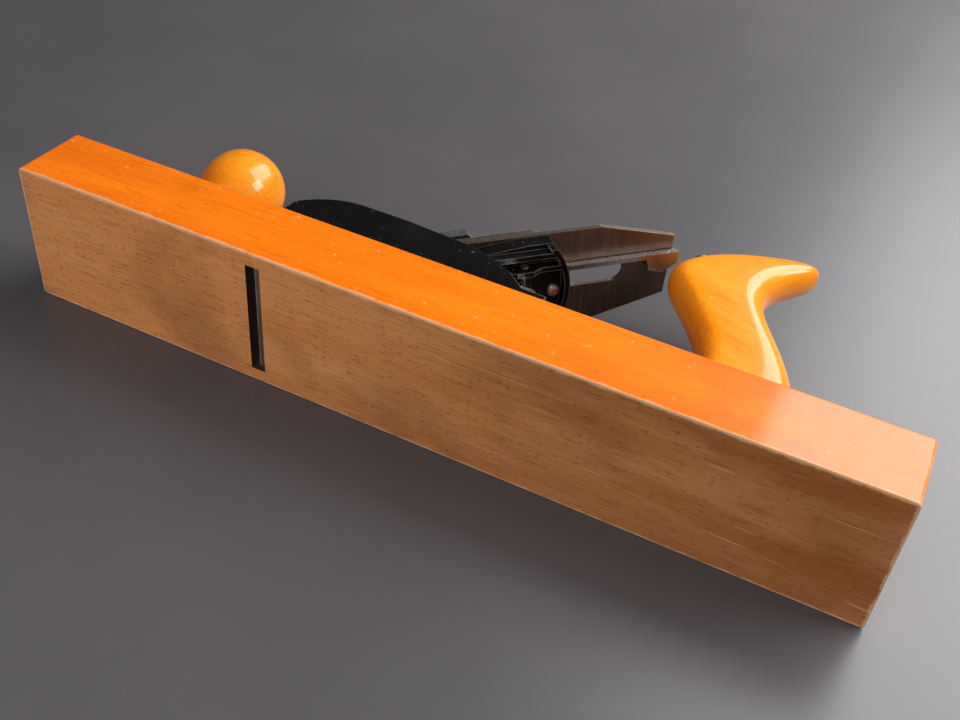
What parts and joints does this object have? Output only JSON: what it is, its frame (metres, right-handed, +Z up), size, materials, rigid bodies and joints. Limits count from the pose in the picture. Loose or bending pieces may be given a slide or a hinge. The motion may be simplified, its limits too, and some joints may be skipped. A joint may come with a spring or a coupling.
{
  "type": "hand plane",
  "caption": "Wood-bottomed bench plane: beech stock, black iron frame and frog, cutter with cap iron, cammed lever cap, depth wheel, lateral lever, ball knob and open tote.",
  "frame": {"origin": "middle of the sole", "axes": "+X to the toe, +Y to the left of the person who planes, +Z up"},
  "size_m": [0.381, 0.066, 0.1634],
  "materials": {
    "varnished_beech": "gloss varnish, worn",
    "black_japanning": "gloss black, worn at the edges",
    "blade_steel": "patinated",
    "bright_plate": "polished, lightly worn",
    "worn_steel": "dull",
    "brass": "dull"
  },
  "bodies": {
    "stock": {"wood_body": "varnished_beech", "top_frame": "black_japanning", "frame_screws": "worn_steel", "frog": "black_japanning", "frog_screws": "worn_steel", "frog_washers": "worn_steel", "lever_cap_screw": "worn_steel", "adjusting_stud": "worn_steel", "yoke_pin": "worn_steel", "lateral_rivet": "worn_steel", "front_knob": "varnished_beech", "knob_rod": "worn_steel", "knob_nut": "brass", "knob_insert": "brass", "tote": "varnished_beech", "tote_rod": "worn_steel", "tote_nut": "brass", "tote_insert": "brass", "toe_screw": "worn_steel"},
    "wheel_carrier": {"wheel_bush": "bright_plate"},
    "depth_wheel": {"adjusting_wheel": "bright_plate"},
    "yoke": {"adjusting_yoke": "black_japanning"},
    "iron_carrier": {"cap_iron_screw": "worn_steel"},
    "iron": {"cutter": "blade_steel", "cap_iron": "blade_steel"},
    "lateral": {"lateral_lever": "bright_plate", "roller_pin": "worn_steel", "lateral_roller": "worn_steel"},
    "lever_cap": {"lever_cap": "bright_plate", "lever_cap_spring": "blade_steel", "spring_rivets": "worn_steel", "cam_pin": "worn_steel"},
    "cam": {"cam_lever": "bright_plate"}
  },
  "joints": [
    {"name": "wheel_travel", "type": "slide", "parent": "stock", "child": "wheel_carrier", "axis": [-1, 0, 0], "range_m": [-0.0012, 0.0047]},
    {"name": "wheel_turn", "type": "hinge", "parent": "wheel_carrier", "child": "depth_wheel", "pos_m": [-0.0155, 0, 0.0555], "axis": [1, 0, 0], "range_deg": [-407, 1596]},
    {"name": "yoke_swing", "type": "hinge", "parent": "stock", "child": "yoke", "pos_m": [-0.0155, 0, 0.07439], "axis": [0, 1, 0], "range_deg": [-4.38, 17.16]},
    {"name": "cutter_depth", "type": "slide", "parent": "stock", "child": "iron_carrier", "axis": [0.7071, 0, -0.7071], "range_m": [-0.00081, 0.00317]},
    {"name": "cutter_skew", "type": "hinge", "parent": "iron_carrier", "child": "iron", "pos_m": [0.02212, 0, 0.04808], "axis": [0.7071, 0, 0.7071], "range_deg": [-0.8, 0.8]},
    {"name": "lateral_swing", "type": "hinge", "parent": "stock", "child": "lateral", "pos_m": [-0.02081, 0, 0.09101], "axis": [0.7071, 0, 0.7071], "range_deg": [-6, 6]},
    {"name": "lever_cap_slide", "type": "slide", "parent": "stock", "child": "lever_cap", "axis": [-0.7071, 0, 0.7071], "range_m": [0, 0.01]},
    {"name": "cam_flip", "type": "hinge", "parent": "lever_cap", "child": "cam", "pos_m": [-0.00214, 0, 0.08676], "axis": [0, 1, 0], "range_deg": [0, 100]}
  ],
  "couplings": [
    {"joint": "wheel_turn", "follows": "wheel_travel", "rad_per_m": 5927.5},
    {"joint": "yoke_swing", "follows": "wheel_travel", "rad_per_m": 63.744},
    {"joint": "cutter_depth", "follows": "wheel_travel", "ratio": 0.67569},
    {"joint": "cutter_skew", "follows": "lateral_swing", "ratio": -0.124}
  ]
}
